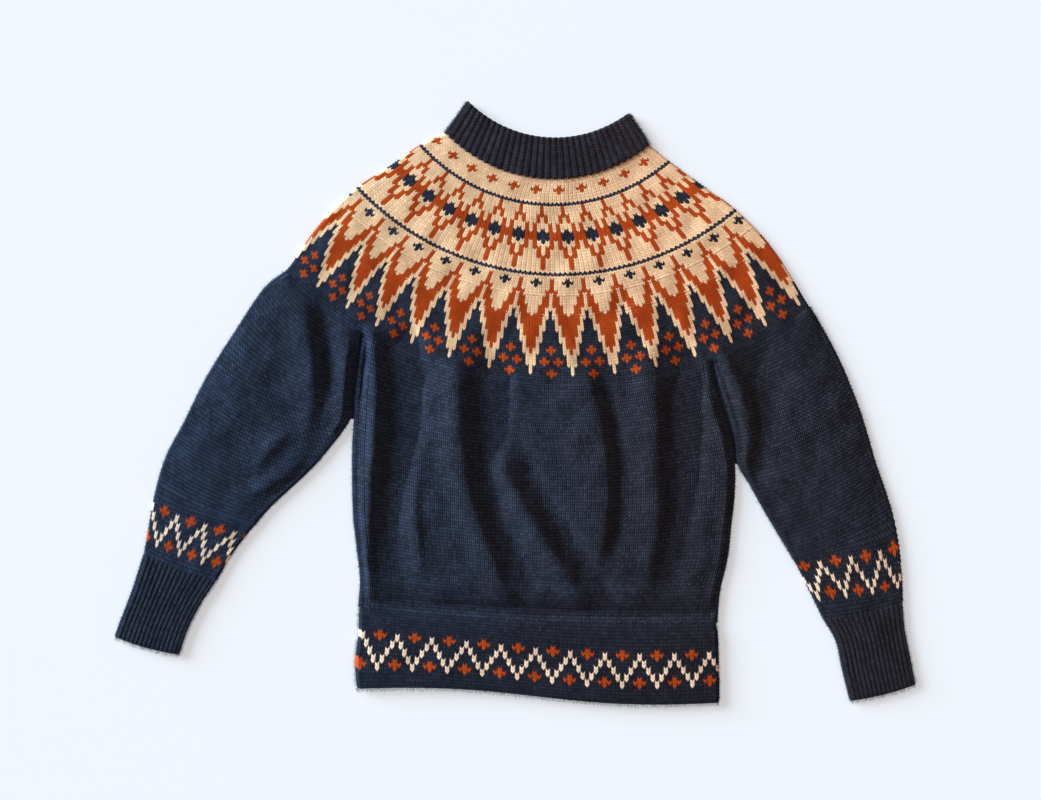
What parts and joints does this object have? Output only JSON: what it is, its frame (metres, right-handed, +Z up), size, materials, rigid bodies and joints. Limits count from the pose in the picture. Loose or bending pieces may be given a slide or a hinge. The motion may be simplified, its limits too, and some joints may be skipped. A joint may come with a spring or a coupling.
{
  "type": "wool sweater",
  "caption": "Hand-knit navy wool sweater laid flat, with a short double neckband, round colourwork yoke, long sleeves with ribbed cuffs and a turned patterned hem.",
  "frame": {"origin": "middle of the laid garment's outline, on the surface it lies on", "axes": "+X across the garment to the wearer's left, which is the right as one looks down on it, +Y towards the neck, +Z up from the surface"},
  "size_m": [0.9228, 0.6962, 0.0136],
  "materials": {
    "navy_stockinette": "matt wool, light nap",
    "navy_rib": "matt ribbed wool, light nap",
    "yoke_colourwork": "matt wool in cream, rust and navy, light nap"
  },
  "bodies": {
    "root": {"neckband": "navy_rib", "yoke": "yoke_colourwork", "body_front": "navy_stockinette", "body_back": "navy_stockinette", "hem_band": "navy_stockinette", "sleeve_left": "navy_stockinette", "sleeve_right": "navy_stockinette", "cuff_left": "navy_rib", "cuff_right": "navy_rib"}
  },
  "joints": []
}
